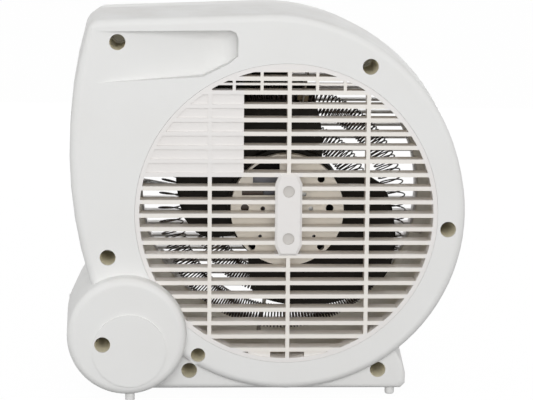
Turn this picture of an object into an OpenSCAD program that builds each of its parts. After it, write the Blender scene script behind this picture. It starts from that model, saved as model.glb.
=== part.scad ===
// Upright fan heater with a snail-shaped casing, seen from behind.
// X runs to the right and Z up in that view. The air goes in through the round grille at -Y,
// past the motor, the fan and the heating coils, and comes out through the grille at +Y.
// The origin lies on the ground, under the middle of the heater. Everything is in millimetres.

/* [Casing] */
// Width of the casing round the grille openings, at the seam between its halves
face_w = 23; // [21:0.5:28]
// Depth of the casing from its rear face to its front face
casing_depth = 116; // [112:1:124]
// Wall of both casing halves
wall = 2.6; // [2:0.1:3]
// Lean of the side walls from the seam to each face, in degrees
draft = 2.6; // [1:0.1:3]
// Rounding of the edge of each face
edge_r = 5; // [3:0.5:6]
// How much larger the casing's radius is where it starts to widen
shoulder_more = 33; // [30:0.5:36]
// How much larger the casing's radius is over the fan
crown_more = 9.5; // [8:0.1:11]
// Radius of the upper corner by the handle
corner_r = 12; // [10:0.5:14]
// Radius of the long side by the handle
side_r = 276; // [265:1:290]
// Height of the casing's underside over the ground
ground_gap = 3.3; // [3:0.1:5]

/* [Base] */
// How far the base stands back from each face of the casing
base_back = 6; // [4:0.5:9]
// How far the base reaches below the casing
base_lip = 0.9; // [0.5:0.1:1.5]
// Distance from the fan axis to the right end of the base
base_right = 79.9; // [77:0.1:84]
// Distance from the fan axis to the left, to the middle of the drum
drum_x = 100.6; // [99:0.1:102]
// Radius of the drum at the seam
drum_r = 40.5; // [39.5:0.1:41]
// How far the drum stands out behind the rear face
drum_proud = 11; // [8:0.5:13]
// How far the drum stands out before the front face
drum_proud_front = 4; // [2:0.5:6]
// Radius of the raised disc on the drum
drum_disc_r = 23.1; // [22.5:0.1:24]
// Height of the raised disc on the drum
drum_disc_h = 1.2; // [0.5:0.1:2]
// Radius of each foot
foot_r = 3; // [2.5:0.1:3.5]

/* [Handle recess] */
// Length of the finger recess
recess_len = 88; // [80:1:89]
// Height of the finger recess at its open left end
recess_h = 32; // [28:1:33]
// Depth of the finger recess at its right end
recess_depth = 13; // [10:0.5:16]

/* [Grilles] */
// Radius of the openings in both grilles
opening_r = 92.6; // [92:0.1:93]
// Width of the rim of each grille
rim_w = 2.8; // [2.2:0.1:3]
// Depth of each grille rim
rim_depth = 12; // [11:0.5:14]
// Distance between the middles of neighbouring slats
slat_pitch = 8.66; // [7:0.01:10]
// Thickness of a slat
slat_t = 2.6; // [1.8:0.1:3.2]
// Depth of a slat
slat_depth = 11.5; // [9:0.5:11.5]
// Thickness of an upright rib
rib_t = 2.5; // [1.8:0.1:3.2]
// Distance between the upright ribs
rib_pitch = 49.6; // [45:0.1:52]
// Distance between the short ribs at the top
short_rib_pitch = 17.3; // [16:0.1:20]
// Width of the plate in the middle of the rear grille
plate_w = 17; // [16:0.5:20]
// Height of the plate in the middle of the rear grille
plate_h = 52; // [50:1:56]

/* [Fan and motor] */
// How far the fan's own axis lies to the right of the casing's
fan_shift = 1.2; // [0.5:0.1:1.5]
// Distance from the blade tips to the duct
tip_gap = 13.2; // [12.5:0.1:20]
// Outer radius of the fan hub
hub_r = 38; // [37.7:0.1:39]
// Distance of the blades' rear edge from the rear face
blade_start = 30; // [29.5:0.5:31]
// Depth of the fan blades
blade_depth = 18; // [14:0.5:18.5]
// Thickness of a blade
blade_t = 1.8; // [1.4:0.1:2.2]
// Radius of the motor cover
cover_r = 36; // [35:0.1:36.5]
// Thickness of the lamination stack
stack_t = 14; // [12:0.5:14]
// Radius of the rotor
rotor_r = 11.2; // [10:0.1:11.6]
// Gap between rotor and laminations
air_gap = 0.3; // [0.25:0.05:0.5]
// Radius of the motor shaft
shaft_r = 2; // [1.6:0.1:2.4]
// Distance between the two motor posts
post_span = 30.2; // [29:0.2:32]

/* [Heating coils] */
// Distance from the outer ring of coil to the tips of the mica plates
coil_margin = 20.3; // [19.5:0.1:21]
// Distance between the two rings of coil
ring_pitch = 22.2; // [21:0.1:23]
// Radius of a curl, to the middle of the wire
curl_r = 7.6; // [7:0.1:7.8]
// Radius of the wire
wire_r = 0.45; // [0.3:0.05:0.5]
// Curls in the inner coil
inner_curls = 43; // [24:1:44]
// Curls in the outer coil
outer_curls = 56; // [30:1:56]
// How far the coils' own axis lies below the grille's
coil_drop = 5.5; // [4:0.5:6.5]
// Thickness of the mica plates
mica_t = 1; // [0.8:0.1:1.5]

/* [Controls] */
// Radius of the heat selector knob
selector_r = 18; // [15:0.5:19]
// Radius of the thermostat knob
thermostat_r = 24; // [20:0.5:27]
// Height of both knobs
knob_h = 14; // [12:0.5:18]
// Radius of both spindles
spindle_r = 3; // [2.5:0.1:3.2]
// Running clearance round a spindle
spindle_gap = 0.05; // [0.02:0.01:0.08]
// Radius of the pilot lamp
lamp_r = 4; // [3:0.1:5]

/* [Fixings] */
// Radius of the deep screw wells in the rear face
well_r = 5; // [4.5:0.1:5.2]
// Radius of the smaller well
small_well_r = 4.6; // [4.2:0.1:4.8]
// Radius of the casing screws' shank
screw_r = 2; // [1.6:0.1:2.2]
// Clearance between pieces that are put together
fit = 0.3; // [0.2:0.05:0.35]
// Radius of the hole for the mains cord
cord_hole_r = 3.9; // [3:0.1:4.2]

/* [Hidden] */
$fn = 96;
eps = 0.01;
bite = 0.4;

half = casing_depth / 2;
lean = tan(draft);

// Radii of the casing: round the fan, at the shoulder and at the crown
scroll_r = opening_r + face_w;
shoulder_r = scroll_r + shoulder_more;
crown_r = scroll_r + crown_more;

// Heights of the casing's axis, its base and its drum
axis_h = scroll_r + ground_gap;
base_drop = scroll_r + base_lip;
drum_z = base_drop - drum_r + 0.3;

// The outline is a chain of arcs that run into each other without a kink, each as
// [radius, direction where it starts, direction where it ends, straight pieces],
// seen from its own centre.
arcs = [
  [scroll_r, -125, 8, 34],
  [shoulder_r, 8, 20, 3],
  [crown_r, 20, 90.5, 18],
  [2000, 90.5, 93.5, 1],
  [corner_r, 93.5, 163.5, 8],
  [side_r, 163.5, 197, 8],
  [30, 197, 225, 3]
];
function heading(a) = [cos(a), sin(a)];
function centre(i) = i == 0 ? [0, 0]
  : centre(i - 1) + (arcs[i - 1][0] - arcs[i][0]) * heading(arcs[i][1]);
function arc_points(i, inset) = [for (k = [0:arcs[i][3] - (i < len(arcs) - 1 ? 1 : 0)])
  centre(i) + (arcs[i][0] - inset) * heading(arcs[i][1] + (arcs[i][2] - arcs[i][1]) * k / arcs[i][3])];
function outline(inset) = [for (i = [0:len(arcs) - 1]) each arc_points(i, inset)];

crown_top = centre(2)[1] + crown_r;
left_side = centre(5)[0] - side_r;
drum_depth = half + drum_proud;
drum_back = drum_depth + drum_disc_h;
drum_front = half + drum_proud_front;

// Where the controls sit, as distances from the fan axis
selector_at = [left_side + 37.5, crown_top - 42.5];
thermostat_at = [-drum_x, -drum_z];
lamp_at = [left_side + 22.5, crown_top - 80.5];
knob_gap = 0.5;
front_reach = drum_front + knob_gap + knob_h;

// The fan axis and the seam, set so that the origin is under the middle of the heater
axis_x = (drum_x + drum_r - scroll_r) / 2;
seam_y = (drum_back - front_reach) / 2;

// Grilles and duct
rim_r = opening_r + rim_w;
rim_gap = 0.12;
flange_r = rim_r + 1.1;
flange_t = 2;
collar_wall = 1.8;
collar_end = half - 22;
rim_end = half - rim_depth;
duct_wall = 2.5;
duct_end = rim_end - 0.2;
slat_drop = 0.5;
slat_count = 10;
plate_proud = 1.4;
plate_t = 4;
dimple_r = 3.7;
dimple_deep = 1.6;
web_back = 1.2;
web_t = 1.8;
tray_t = 4.4;

// Motor, from the rear face inwards along Y
fan_r = flange_r - duct_wall - tip_gap;
post_r = 4;
shoulder_y = -half + 17;
cover_t = 1.5;
cover_deep = 8;
bracket_t = 1.5;
rear_bracket_y = shoulder_y + 4;
stack_y = rear_bracket_y + bracket_t + 4.5;
front_bracket_y = stack_y + stack_t + 3.5;
hub_wall = 2;
hub_front_y = -half + 47.5;
hub_disc_t = 2.5;
boss_r = 6;
shaft_end_y = hub_front_y + hub_disc_t + 7.5;
motor_screw_at = [12, 17];
screw_m3 = 1.5;

// Heater
coil_y = -half + 59;
coil_a = 80;
curl_rings = 8;
wire_sides = 6;
notch_r = curl_r + wire_r + 0.25;
mica_reach_r = flange_r - duct_wall - 0.3;
outer_ring_r = mica_reach_r - coil_margin;
inner_ring_r = outer_ring_r - ring_pitch;
mica_front = coil_y + 14;
mica_back = coil_y - 6.5;
mica_arm_r = inner_ring_r - notch_r - 2;
mica_mid = coil_y + 3;
terminal_t = 3;
terminal_h = 4;

// Screw wells in the rear half, as [x, z, distance of the face from the seam]
crown_well = centre(2) + (crown_r - 15.5) * heading(55.5);
side_well = (scroll_r - 13) * heading(-5.2);
wells = [
  [left_side + 32.6, crown_top - 20.3, half],
  [crown_well[0], crown_well[1], half],
  [left_side + 26, -drum_z + 48.9, half],
  [side_well[0], side_well[1], half],
  [-61.1, -base_drop + 14.3, half - base_back],
  [base_right - 20.2, -base_drop + 14.7, half - base_back],
  [-drum_x - 15.1, -drum_z - 4.5, drum_back]
];
small_well = [-55.5, -base_drop + 25.9, half];
well_floor = 14;
floor_t = 3;
well_wall = 1.8;
mate_r = 5.2;
screw_depth = 19;

// Feet, as [x, y]; they reach the ground
left_foot = -drum_x + 1.9;
right_foot = base_right - 11.9;
feet = [[left_foot, -(half + 4)], [right_foot, -(half - 12)], [left_foot, half - 3],
  [right_foot, half - 12]];

// A flat shape drawn in X and Z, given a depth from y0 to y1
module slab(y0, y1) rotate([90, 0, 0]) translate([0, 0, -y1]) linear_extrude(y1 - y0) children();

// A cylinder along Y
module rod(x, z, r, y0, y1) translate([x, y0, z]) rotate([-90, 0, 0]) cylinder(r = r, h = y1 - y0);

module tube(x, z, r, bore, y0, y1) difference() {
  rod(x, z, r, y0, y1);
  rod(x, z, bore, y0 - 1, y1 + 1);
}

// A profile of [radius, distance behind the seam], turned round a centre in X and Z
module sweep(at, from, to) rotate([90, 0, 0]) translate([at[0], at[1], 0])
  rotate([0, 0, from]) rotate_extrude(angle = to - from) children();

module in_place() translate([axis_x, seam_y, axis_h]) children();
module on_fan_axis() in_place() translate([fan_shift, 0, 0]) children();
module on_coil_axis() in_place() translate([0, 0, -coil_drop]) children();

// Casing

// A solid through rings of points in X and Z, each with its distance from the seam
module loft(rings, depths) {
  n = len(rings[0]);
  last = len(rings) - 1;
  points = [for (i = [0:last]) for (p = rings[i]) [p[0], -depths[i], p[1]]];
  sides = [for (i = [0:last - 1]) for (k = [0:n - 1]) let (a = i * n + k, b = i * n + (k + 1) % n)
    each [[a, a + n, b + n], [a, b + n, b]]];
  polyhedron(points, concat([[for (k = [0:n - 1]) k]], sides,
    [[for (k = [n - 1:-1:0]) last * n + k]]));
}

// Side of a half from the seam to its face, as [inset, distance from the seam]
function side_line(depth) = concat([[0, 0]], [for (k = [0:5]) let (t = 18 * k)
  [lean * (depth - edge_r) + edge_r * (1 - cos(t)), depth - edge_r + edge_r * sin(t)]]);

module body_outer() {
  line = side_line(half);
  loft([for (p = line) outline(p[0])], [for (p = line) p[1]]);
}
module body_inner() {
  deep = half - wall;
  loft([outline(wall), outline(wall), outline(wall + lean * deep)], [-1, 0, deep]);
}

function base_outline(inset) = [
  [-drum_x, -base_drop + inset],
  [base_right - 3 - inset, -base_drop + inset],
  [base_right - inset, -base_drop + 3 + inset],
  [base_right - inset, -base_drop + 12],
  [base_right - 1.8 - inset, -base_drop + 19.5],
  [base_right - 7 - inset, -base_drop + 28],
  [base_right - 30, -base_drop + 44],
  [-drum_x, -base_drop + 44]
];
module base_outer() {
  deep = half - base_back;
  loft([base_outline(0), base_outline(lean * deep), base_outline(lean * deep + 1.1),
    base_outline(lean * deep + 3)], [0, deep - 2.4, deep - 0.9, deep]);
}
module base_inner() {
  deep = half - base_back - wall;
  loft([base_outline(wall), base_outline(wall), base_outline(wall + lean * deep)], [-1, 0, deep]);
}

module drum_solid(depth, shrink) sweep([-drum_x, -drum_z], 0, 360)
  polygon(concat([[0, depth], [0, shrink > 0 ? -1 : 0]], shrink > 0 ? [[drum_r - shrink, -1]] : [],
    [for (p = side_line(depth)) [drum_r - shrink - p[0], p[1]]]));

// Everything that both halves have, drawn as the rear one
module half_shell(depth) difference() {
  union() {
    body_outer();
    base_outer();
    drum_solid(depth, 0);
  }
  difference() {
    union() {
      body_inner();
      difference() {
        base_inner();
        rod(0, 0, scroll_r - wall * 0.6, -half, 2);
      }
      drum_solid(depth - wall, wall);
    }
    rod(0, 0, flange_r + fit + collar_wall, -depth, -collar_end);
  }
  rod(0, 0, rim_r + rim_gap, -half - 0.2, 1);
  rod(0, 0, flange_r + fit, -rim_end - flange_t - 0.2, 1);
}

// The finger recess: its outline in X and Z, and its floor, which rises to the face at the left
recess_top = crown_top - 12.5;
recess_left = left_side + 19.5;
recess_right = recess_left + recess_len;
module recess_outline(grow) polygon([
  [recess_left - grow, recess_top - recess_h - 1 - grow],
  [recess_right - 22, recess_top - recess_h + 3 - grow],
  [recess_right - 6 + grow * 0.5, recess_top - 21 - grow],
  [recess_right + grow, recess_top - 16 - grow * 0.5],
  [recess_right + grow, recess_top - 5 + grow * 0.4],
  [recess_right - 1.5 + grow * 0.7, recess_top - 1.5 + grow * 0.7],
  [recess_right - 5 + grow * 0.4, recess_top + grow],
  [recess_left - grow, recess_top - 1 + grow]
]);

function recess_floor(grow) = concat(
  [[recess_left - grow, -half - 1], [recess_left - grow, -half + grow]],
  [[recess_right - 20, -half + recess_depth + grow]],
  [for (k = [0:6]) let (t = 90 - 15 * k)
    [recess_right - 11 + (11 + grow) * cos(t), -half + recess_depth - 11 + (11 + grow) * sin(t)]],
  [[recess_right + grow, -half - 1]]);

module recess(grow) intersection() {
  slab(-half - 0.5 + (grow > 0 ? 0.6 : 0), 0) recess_outline(grow);
  linear_extrude(200) polygon(recess_floor(grow));
}

module rear_shell() color("white") in_place() {
  difference() {
    union() {
      half_shell(drum_depth);
      rod(-drum_x + 1.7, -drum_z - 8.7, drum_disc_r, -drum_back, -drum_depth + bite);
      recess(wall);
      for (w = wells) rod(w[0], w[1], well_r + well_wall, -w[2] + 1.5, -well_floor + floor_t);
      rod(small_well[0], small_well[1], small_well_r + well_wall, -half + 1.5, -well_floor + floor_t);
    }
    recess(0);
    for (w = wells) {
      rod(w[0], w[1], well_r, -w[2] - 1, -well_floor);
      rod(w[0], w[1], screw_r + fit, -well_floor - 1, 0);
    }
    rod(small_well[0], small_well[1], small_well_r, -half - 1, -well_floor);
    rod(small_well[0], small_well[1], screw_m3 + fit, -well_floor - 1, 0);
    for (w = [wells[4], wells[5]]) rod(w[0], w[1], mate_r + fit, -well_floor + floor_t, 1);
    rod(0, 0, flange_r + fit, -rim_end - flange_t - 0.2, 1);
    foot_holes(-1);
  }
}

module foot_holes(side) for (f = feet) if (f[1] * side > 0)
  translate([f[0], f[1], -axis_h]) cylinder(r = foot_r + 0.1, h = 9);

// The lip on the front half that reaches into the rear one
module tongue() {
  slab(-3, 3) difference() {
    polygon(outline(wall + fit));
    polygon(outline(wall + fit + 1.2));
    translate([-drum_x, -drum_z]) circle(r = drum_r + 1);
    translate([-drum_x, -base_drop - 5]) square([drum_x + 75, 60]);
  }
  slab(fit, 3) difference() {
    polygon(outline(wall - bite));
    polygon(outline(wall + fit + 1.2));
    translate([-drum_x, -drum_z]) circle(r = drum_r + 1);
    translate([-drum_x, -base_drop - 5]) square([drum_x + 75, 60]);
  }
}

module front_shell() color("white") in_place() {
  difference() {
    union() {
      mirror([0, 1, 0]) half_shell(drum_front);
      tongue();
      for (w = concat(wells, [small_well]))
        rod(w[0], w[1], mate_r, -well_floor + floor_t + fit, (w[2] > half ? drum_front : w[2])
          - wall + bite);
      cord_saddle();
    }
    for (w = wells) rod(w[0], w[1], screw_r - 0.4, -well_floor, 22);
    rod(small_well[0], small_well[1], screw_m3 - 0.3, -well_floor, 18);
    rod(0, 0, flange_r + fit, -1, rim_end + flange_t + 0.2);
    rod(selector_at[0], selector_at[1], bushing_r + fit, half - wall - 1, half + 1);
    rod(thermostat_at[0], thermostat_at[1], bushing_r + fit, drum_front - wall - 1, drum_front + 1);
    rod(lamp_at[0], lamp_at[1], lamp_r + fit, half - wall - 1, half + 1);
    translate([-drum_x - drum_r - 1, cord_y, -drum_z]) rotate([0, 90, 0])
      cylinder(r = cord_neck_r + fit, h = 6);
    foot_holes(1);
  }
}

// Grilles and duct

module grille_rim() {
  tube(0, 0, rim_r, opening_r, -half, -rim_end);
  tube(0, 0, flange_r, opening_r, -rim_end - flange_t, -rim_end);
}

module bar(z, t, y0, y1) slab(y0, y1) intersection() {
  circle(r = opening_r + bite);
  translate([-opening_r - 1, z - t / 2]) square([2 * opening_r + 2, t]);
}

module upright(x, t, y0, y1, z0) slab(y0, y1) intersection() {
  circle(r = opening_r + bite);
  translate([x - t / 2, z0]) square([t, 2 * opening_r]);
}

module rear_grille() color("ivory") in_place() {
  slat_back = -half + slat_depth;
  top_slat = 9 * slat_pitch - slat_drop;
  upper_slat = top_slat + slat_pitch;
  cut = [plate_w * 0.17, plate_h * 0.12];
  difference() {
    union() {
      grille_rim();
      for (k = [-slat_count:slat_count]) if (abs(k * slat_pitch) < opening_r - 3)
        bar(k * slat_pitch - slat_drop, slat_t, -half, slat_back);
      bar(upper_slat - 3.4, 1.3, -half, -half + 4);
      slab(-half, -half + 4) intersection() {
        circle(r = opening_r + bite);
        translate([-opening_r, upper_slat + slat_t / 2 + 2.8]) square([2 * opening_r, opening_r]);
      }
      for (i = [-1:1]) upright(fan_shift + i * rib_pitch, rib_t, -half, slat_back - 1, -opening_r);
      for (i = [-2, -1, 1, 2])
        upright(fan_shift + i * short_rib_pitch, 1.9, -half, -half + 4, top_slat);
      for (x = [-23.6, 12]) slab(-half + 1, -half + 6) intersection() {
        circle(r = opening_r + bite);
        translate([x, -opening_r - 1]) square([14, 5.4]);
      }
      slab(-half + web_back, -half + web_back + web_t) intersection() {
        polygon(web_outline(0));
        circle(r = opening_r + bite);
      }
      hull() {
        slab(-half - plate_proud, -half)
          polygon(octagon(fan_shift, plate_w - 3, plate_h - 3, cut * 0.86));
        slab(-half, -half + 1) polygon(octagon(fan_shift, plate_w, plate_h, cut));
      }
      slab(-half, -half + plate_t) polygon(octagon(fan_shift, plate_w, plate_h, cut));
      for (s = [-1, 1]) {
        rod(fan_shift, s * post_span / 2, post_r + 1.5, -half + 1, shoulder_y);
        rod(fan_shift, s * post_span / 2, post_r, -half + 1, rear_bracket_y);
      }
    }
    for (s = [-1, 1]) {
      rod(fan_shift, s * post_span / 2, dimple_r, -half - 5, -half - plate_proud + dimple_deep);
      rod(fan_shift, s * post_span / 2, screw_m3 - 0.25, rear_bracket_y - 12, rear_bracket_y + 1);
    }
  }
}

// A rectangle round [x, 0] with its corners cut by c, given as [width, height]
function octagon(x, w, h, c) = [for (p = [
  [-w / 2, -h / 2 + c[1]], [-w / 2 + c[0], -h / 2], [w / 2 - c[0], -h / 2], [w / 2, -h / 2 + c[1]],
  [w / 2, h / 2 - c[1]], [w / 2 - c[0], h / 2], [-w / 2 + c[0], h / 2], [-w / 2, h / 2 - c[1]]
]) [p[0] + x, p[1]]];

// The outlet's level louvres
louvre_pitch = 8.5;
louvre_t = 1.6;
louvre_depth = 8;
louvre_lift = -1;
outlet_rib_shift = 6.7;
outlet_rib_pitch = 53.7;
module front_grille() color("white") in_place() {
  mirror([0, 1, 0]) grille_rim();
  intersection() {
    rod(0, 0, opening_r + bite, rim_end, half);
    union() {
      for (k = [-10:10])
        translate([-opening_r - 1, half - 1 - louvre_depth, k * louvre_pitch + louvre_lift])
          cube([2 * opening_r + 2, louvre_depth, louvre_t]);
      for (i = [-1:1])
        translate([outlet_rib_shift + i * outlet_rib_pitch - rib_t / 2, half - 7, -opening_r - 1])
          cube([rib_t, 6, 2 * opening_r + 2]);
    }
  }
  rod(0, 0, 17, half - 7, half);
}

// The dark plate behind the outlet's louvres that keeps the warm air off the controls
baffle_right = 23.7;
baffle_low = 20;
baffle_t = 1.8;
module outlet_baffle() color("#222222") in_place()
  slab(rim_end + 0.6, rim_end + 0.6 + baffle_t) intersection() {
    circle(r = opening_r - 0.3);
    polygon([[-opening_r, baffle_low], [baffle_right, baffle_low], [baffle_right, 69.5],
      [baffle_right - 19, 75.5], [baffle_right - 19, opening_r], [-opening_r, opening_r]]);
  }

module fan_duct() color("gray") in_place() difference() {
  tube(0, 0, flange_r, flange_r - duct_wall, -duct_end, duct_end);
  for (a = [0:90:270]) translate([0, 0, -coil_drop]) rotate([0, -coil_a - a, 0])
    translate([arm_reach(flange_r - duct_wall, coil_a + a) - 1, coil_y, -mica_t / 2 - 0.15])
      cube([duct_wall + 2, 8.4, mica_t + 0.3]);
}

// How far an arm of the mica cross runs to a circle round the duct's axis
function arm_reach(r, arm) = coil_drop * sin(arm) + sqrt(r * r - pow(coil_drop * cos(arm), 2));

// The tray behind the closed part of the grille, which keeps the wiring off the fan
module wiring_cover() color("whitesmoke") in_place() {
  y0 = -half + slat_depth;
  intersection() {
    difference() {
      slab(y0, y0 + tray_t) polygon(web_outline(1.2));
      slab(y0 + 1.6, y0 + tray_t + 1) polygon(web_outline(2.8));
    }
    rod(0, 0, opening_r - 0.3, y0, y0 + tray_t + 1);
  }
}

// The closed part of the rear grille, which runs from slat 3 to slat 9
function web_outline(inset) = let (low = 3 * slat_pitch - slat_drop, high = 9 * slat_pitch - slat_drop)
  [[-opening_r - 1, low + inset], [-27.2 - inset, low + inset], [-27.2 - inset, high + 1 - inset],
   [-opening_r - 1, high + 1 - inset]];

// Motor

// Round holes in the motor cover, as [x, z, radius]
cover_vents = [[27, 1.3, 2.5], [-27, 1.3, 2.6], [21.4, 20, 2.3], [21.6, -23.7, 2.3],
  [-22.4, -23.7, 2.3], [15, 0.9, 1.5], [-15.6, 0.9, 1.5], [10.6, 10.3, 1.5], [17.2, -17, 1.1],
  [-17.2, -17, 1.1]];
module motor_cover() color("beige") on_fan_axis() difference() {
  union() {
    rod(0, 0, cover_r, shoulder_y, shoulder_y + cover_t);
    tube(0, 0, cover_r, cover_r - cover_t, shoulder_y, shoulder_y + cover_deep);
    for (s = [-1, 1]) rod(0, s * post_span / 2, post_r + 1.5, shoulder_y, rear_bracket_y);
  }
  for (s = [-1, 1]) rod(0, s * post_span / 2, post_r + 0.15, shoulder_y - 1, rear_bracket_y + 1);
  for (v = cover_vents) rod(v[0], v[1], v[2], shoulder_y - 1, shoulder_y + cover_t + 1);
  for (w = [[-29, 9.5, 21, 6], [-22, 17.5, 17, 6.5], [-31, 26, 26, 11]])
    translate([w[0], shoulder_y - 1, w[1]]) cube([w[2], cover_t + 2, w[3]]);
}

module plate_at(y) slab(y, y + bracket_t) difference() {
  polygon(octagon(5.5, 23, 42, [4, 4]));
  circle(r = bearing_r);
  for (s = [-1, 1]) translate([motor_screw_at[0], s * motor_screw_at[1]]) circle(r = screw_m3 + 0.1);
}

bearing_r = 4;
module rear_bracket() color("silver") on_fan_axis() {
  difference() {
    plate_at(rear_bracket_y);
    for (s = [-1, 1]) rod(0, s * post_span / 2, screw_m3 + 0.1, rear_bracket_y - 1, rear_bracket_y + 3);
  }
  for (s = [-1, 1]) tube(motor_screw_at[0], s * motor_screw_at[1], 3.2, screw_m3 + 0.1,
    rear_bracket_y + bracket_t - 0.1, stack_y);
}

module front_bracket() color("silver") on_fan_axis() {
  plate_at(front_bracket_y);
  for (s = [-1, 1]) tube(motor_screw_at[0], s * motor_screw_at[1], 3.2, screw_m3 + 0.1,
    stack_y + stack_t, front_bracket_y + 0.1);
}

module bearing(y) on_fan_axis() tube(0, 0, bearing_r, shaft_r + 0.05, y, y + 5);
module rear_bearing() color("goldenrod") bearing(rear_bracket_y - 1.8);
module front_bearing() color("goldenrod") bearing(front_bracket_y - 2);

module stator_core() color("dimgray") on_fan_axis() slab(stack_y, stack_y + stack_t) difference() {
  polygon([[-26, -15], [-26, 15], [-19, 22], [18, 22], [18, -22], [-19, -22]]);
  circle(r = rotor_r + air_gap);
  translate([-20, -13]) square([5.2, 26]);
  for (s = [-1, 1]) translate([motor_screw_at[0], s * motor_screw_at[1]]) circle(r = screw_m3 + 0.15);
}

module stator_winding() color("peru") on_fan_axis() difference() {
  translate([-30.2, stack_y - 4, -12]) cube([15.1, stack_t + 8, 24]);
  translate([-26.2, stack_y - 0.2, -13]) cube([6.3, stack_t + 0.4, 26]);
}

module motor_rotor() color("lightgray") on_fan_axis()
  tube(0, 0, rotor_r, shaft_r, stack_y, stack_y + stack_t);

module motor_shaft() color("silver") on_fan_axis()
  rod(0, 0, shaft_r, rear_bracket_y - 2, shaft_end_y);

module motor_mount_screws() color("silver") on_fan_axis() for (s = [-1, 1]) {
  rod(0, s * post_span / 2, 2.8, rear_bracket_y + bracket_t, rear_bracket_y + bracket_t + 2);
  rod(0, s * post_span / 2, screw_m3 - 0.3, rear_bracket_y - 10, rear_bracket_y + bracket_t + 1);
}

module motor_through_screws() color("silver") on_fan_axis() for (s = [-1, 1]) {
  x = motor_screw_at[0];
  z = s * motor_screw_at[1];
  rod(x, z, 2.8, rear_bracket_y - 1.8, rear_bracket_y);
  rod(x, z, screw_m3, rear_bracket_y - 1, front_bracket_y + bracket_t);
}

// Fan: a cup round the motor, with two broad blades whose edges sweep back towards the tip

function blade_from(u) = 50 + 22 * pow(u, 0.8);
function blade_to(u) = 210 - 15 * u - 22 * pow(u, 6);
// A blade reaches farthest at seven tenths of its width, and less at its two edges
function blade_reach(v) = fan_r - (v < 0.7 ? 15.8 * (1 - pow(v / 0.7, 1.5))
  : 10.8 * pow((v - 0.7) / 0.3, 1.3));
function blade_point(u, v, side) = let (
  r = hub_r - 1 + (blade_reach(v) - hub_r + 1) * u,
  a = blade_from(u) + (blade_to(u) - blade_from(u)) * v)
  [r * cos(a), -half + blade_start + blade_t + (blade_depth - 2 * blade_t) * (1 - v)
    + side * blade_t / 2, r * sin(a)];

// A blade is a skin on both sides of a grid of points, in rows from the hub to the tip
blade_rows = 8;
blade_cols = 16;
module blade() {
  n = blade_cols + 1;
  m = (blade_rows + 1) * n;
  points = [for (side = [-1, 1]) for (i = [0:blade_rows]) for (j = [0:blade_cols])
    blade_point(i / blade_rows, j / blade_cols, side)];
  quads = concat(
    [for (i = [0:blade_rows - 1]) for (j = [0:blade_cols - 1])
      [i * n + j, i * n + j + 1, (i + 1) * n + j + 1, (i + 1) * n + j]],
    [for (i = [0:blade_rows - 1]) for (j = [0:blade_cols - 1])
      [m + i * n + j, m + (i + 1) * n + j, m + (i + 1) * n + j + 1, m + i * n + j + 1]],
    [for (j = [0:blade_cols - 1]) [j, m + j, m + j + 1, j + 1]],
    [for (j = [0:blade_cols - 1]) let (b = blade_rows * n)
      [b + j, b + j + 1, m + b + j + 1, m + b + j]],
    [for (i = [0:blade_rows - 1]) [i * n, (i + 1) * n, m + (i + 1) * n, m + i * n]],
    [for (i = [0:blade_rows - 1]) let (b = blade_cols)
      [i * n + b, m + i * n + b, m + (i + 1) * n + b, (i + 1) * n + b]]);
  polyhedron(points, [for (q = quads) each [[q[0], q[1], q[2]], [q[0], q[2], q[3]]]]);
}

module impeller() color("#1c1c1c") on_fan_axis() {
  tube(0, 0, hub_r, hub_r - hub_wall, -half + blade_start - 1, hub_front_y + hub_disc_t);
  difference() {
    union() {
      rod(0, 0, hub_r - 0.5, hub_front_y, hub_front_y + hub_disc_t);
      rod(0, 0, boss_r, hub_front_y, hub_front_y + hub_disc_t + 5);
    }
    rod(0, 0, shaft_r, hub_front_y - 1, hub_front_y + 20);
  }
  for (a = [0, 180]) rotate([0, a, 0]) blade();
}

module impeller_clip() color("silver") on_fan_axis()
  tube(0, 0, 4.6, shaft_r, hub_front_y + hub_disc_t + 5, hub_front_y + hub_disc_t + 5.8);

// Heater: two mica plates crossed in the duct, and two rings of coil in their notches

module mica_plate(arms, slot_y0, slot_y1) difference() {
  for (i = [0, 1]) mirror([i, 0, 0]) {
    reach = arm_reach(mica_reach_r, arms[i]);
    translate([-1, mica_mid, -mica_t / 2]) cube([reach + 1, mica_front - mica_mid, mica_t]);
    translate([mica_arm_r, mica_back, -mica_t / 2])
      cube([reach - mica_arm_r, mica_mid - mica_back + 1, mica_t]);
    translate([reach - 1, coil_y + 0.2, -mica_t / 2])
      cube([arm_reach(flange_r, arms[i]) - reach + 1, 8, mica_t]);
  }
  for (i = [0, 1]) if (arms[i] != coil_a) for (r = [inner_ring_r, outer_ring_r])
    translate([i == 0 ? r : -r, coil_y, 0]) notch();
  translate([-mica_t / 2 - 0.1, slot_y0, -2]) cube([mica_t + 0.2, slot_y1 - slot_y0, 4]);
}

// Room for the coil: a round seat, open to the rear
module notch() {
  translate([0, 0, -mica_t]) cylinder(r = notch_r, h = 2 * mica_t);
  translate([-notch_r, -10, -mica_t]) cube([2 * notch_r, 10, 2 * mica_t]);
}

mica_lap = (mica_mid + mica_front) / 2;
module mica_plate_rising() color("tan") on_coil_axis() rotate([0, -coil_a, 0])
  mica_plate([coil_a, coil_a + 180], mica_mid - 1, mica_lap + 0.1);
module mica_plate_falling() color("tan") on_coil_axis() rotate([0, -coil_a - 90, 0])
  mica_plate([coil_a + 90, coil_a + 270], mica_lap - 0.1, mica_front + 1);

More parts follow.
